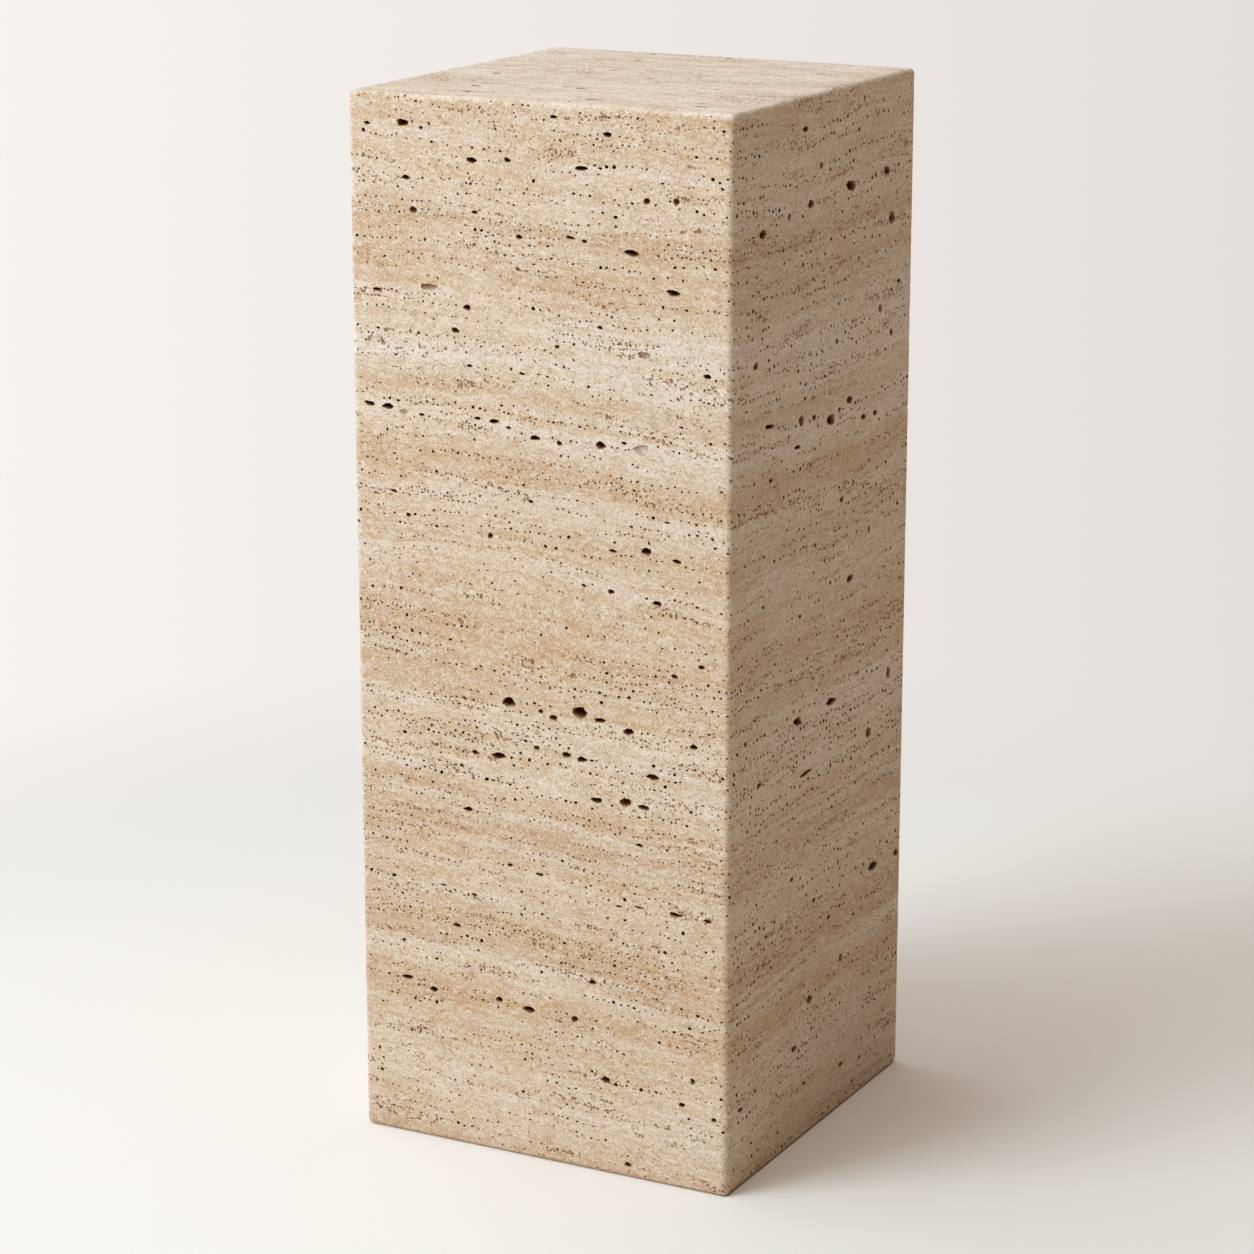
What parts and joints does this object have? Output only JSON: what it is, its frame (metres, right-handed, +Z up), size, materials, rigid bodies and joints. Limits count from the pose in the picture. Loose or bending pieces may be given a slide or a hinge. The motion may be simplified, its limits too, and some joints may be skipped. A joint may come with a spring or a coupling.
{
  "type": "square travertine pedestal",
  "caption": "Plain square pedestal block of honed, unfilled travertine with eased edges, for standing a statue, vase or plant on.",
  "frame": {"origin": "centre of the underside, on the surface that the pedestal stands on", "axes": "+Z up, -Y towards the front, +X to the right seen from the front"},
  "size_m": [0.35, 0.35, 0.9],
  "materials": {
    "travertine": "honed, unfilled"
  },
  "bodies": {
    "root": {"pedestal_block": "travertine"}
  },
  "joints": []
}
